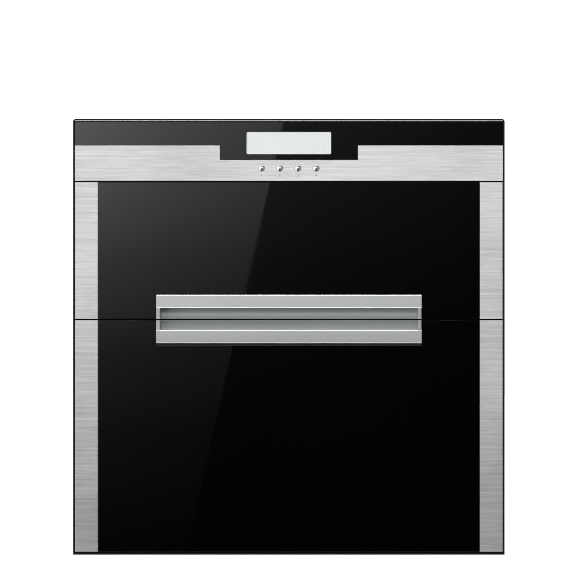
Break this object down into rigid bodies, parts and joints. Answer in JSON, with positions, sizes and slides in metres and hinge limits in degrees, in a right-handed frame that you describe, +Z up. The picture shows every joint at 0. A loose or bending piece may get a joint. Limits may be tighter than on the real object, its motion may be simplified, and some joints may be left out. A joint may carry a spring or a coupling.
{
  "type": "dish sterilizer cabinet",
  "caption": "Built-in dish sterilizer cabinet with upper and lower glass-fronted drawers on telescopic slides, wire racks, fan, lamp, heaters and a push-button control panel.",
  "frame": {"origin": "bottom centre of the whole cabinet, on the surface its feet stand on", "axes": "+Z up, -Y the front that faces the user, +X to the user's right"},
  "size_m": [0.595, 0.465, 0.601],
  "materials": {
    "black_coat": "smooth black powder coat",
    "black_glass": "polished black tempered glass",
    "brushed_stainless": "stainless steel with a fine horizontal grain",
    "galvanised_sheet": "galvanised steel sheet",
    "liner_steel": "satin stainless steel sheet",
    "handle_aluminium": "satin anodised extrusion",
    "bright_trim": "polished aluminium strip",
    "button_chrome": "polished chrome",
    "rack_chrome": "polished stainless wire",
    "slide_zinc": "zinc plated",
    "display_pane": "pale grey-green display cover",
    "black_plastic": "moulded black plastic",
    "foam_core": "black foam-filled tray",
    "white_ceramic": "unglazed white ceramic",
    "quartz": "frosted quartz tube",
    "lamp_glass": "clear germicidal lamp glass",
    "socket_plastic": "white heat-proof plastic",
    "seal_rubber": "soft silicone seal",
    "foot_rubber": "moulded rubber",
    "wool": "mineral wool blanket",
    "circuit_board": "green laminate",
    "motor_steel": "plated motor case",
    "magnet_black": "coated magnet"
  },
  "bodies": {
    "cabinet": {"front_bezel": "black_coat", "front_frame": "black_coat", "base_pan": "galvanised_sheet", "casing_left": "galvanised_sheet", "casing_right": "galvanised_sheet", "top_cover": "galvanised_sheet", "rear_cover": "galvanised_sheet", "upper_liner": "liner_steel", "lower_liner": "liner_steel", "insulation": "wool", "feet": "foot_rubber", "cord_gland": "black_plastic", "thermostat": "black_plastic", "control_glass": "black_glass", "control_fascia": "brushed_stainless", "display_window": "display_pane", "top_trim": "bright_trim", "control_housing": "black_plastic", "control_board": "circuit_board", "power_board": "circuit_board", "fan_housing": "black_plastic", "fan_motor": "motor_steel", "fan_grille": "liner_steel", "uv_lamp": "lamp_glass", "lamp_holders": "socket_plastic", "ozone_unit": "socket_plastic", "heater_tubes": "quartz", "heater_end_caps": "white_ceramic", "heater_guard": "rack_chrome", "reed_switches": "black_plastic", "upper_outer_rails": "slide_zinc", "lower_outer_rails": "slide_zinc"},
    "upper_drawer": {"upper_glass": "black_glass", "upper_side_trims": "brushed_stainless", "upper_door_core": "foam_core", "upper_door_panel": "liner_steel", "upper_gasket": "seal_rubber", "upper_magnet": "magnet_black", "upper_handle": "handle_aluminium", "upper_drawer_frame": "liner_steel", "upper_inner_rails": "slide_zinc", "upper_rack": "rack_chrome"},
    "upper_mid_rails": {"upper_mid_rails": "slide_zinc"},
    "lower_drawer": {"lower_glass": "black_glass", "lower_side_trims": "brushed_stainless", "lower_door_core": "foam_core", "lower_door_panel": "liner_steel", "lower_gasket": "seal_rubber", "lower_magnet": "magnet_black", "lower_handle": "handle_aluminium", "lower_drawer_frame": "liner_steel", "lower_inner_rails": "slide_zinc", "lower_rack": "rack_chrome", "drip_tray": "liner_steel"},
    "lower_mid_rails": {"lower_mid_rails": "slide_zinc"},
    "fan_rotor": {"fan_impeller": "black_plastic"},
    "button_1": {"button_1": "button_chrome"},
    "button_2": {"button_2": "button_chrome"},
    "button_3": {"button_3": "button_chrome"},
    "button_4": {"button_4": "button_chrome"}
  },
  "joints": [
    {"name": "upper_drawer_slide", "type": "slide", "parent": "cabinet", "child": "upper_drawer", "axis": [0, -1, 0], "range_m": [0, 0.34]},
    {"name": "upper_rail_slide", "type": "slide", "parent": "cabinet", "child": "upper_mid_rails", "axis": [0, -1, 0], "range_m": [0, 0.17]},
    {"name": "lower_drawer_slide", "type": "slide", "parent": "cabinet", "child": "lower_drawer", "axis": [0, -1, 0], "range_m": [0, 0.34]},
    {"name": "lower_rail_slide", "type": "slide", "parent": "cabinet", "child": "lower_mid_rails", "axis": [0, -1, 0], "range_m": [0, 0.17]},
    {"name": "button_1_press", "type": "slide", "parent": "cabinet", "child": "button_1", "axis": [0, 1, 0], "range_m": [0, 0.001], "stiffness_N_per_m": 900, "springref_m": -0.0005},
    {"name": "button_2_press", "type": "slide", "parent": "cabinet", "child": "button_2", "axis": [0, 1, 0], "range_m": [0, 0.001], "stiffness_N_per_m": 900, "springref_m": -0.0005},
    {"name": "button_3_press", "type": "slide", "parent": "cabinet", "child": "button_3", "axis": [0, 1, 0], "range_m": [0, 0.001], "stiffness_N_per_m": 900, "springref_m": -0.0005},
    {"name": "button_4_press", "type": "slide", "parent": "cabinet", "child": "button_4", "axis": [0, 1, 0], "range_m": [0, 0.001], "stiffness_N_per_m": 900, "springref_m": -0.0005},
    {"name": "fan_spin", "type": "hinge", "parent": "cabinet", "child": "fan_rotor", "pos_m": [0, 0.19, 0.4195], "axis": [0, 1, 0], "continuous": true}
  ],
  "couplings": [
    {"joint": "upper_rail_slide", "follows": "upper_drawer_slide", "ratio": 0.5},
    {"joint": "lower_rail_slide", "follows": "lower_drawer_slide", "ratio": 0.5}
  ]
}
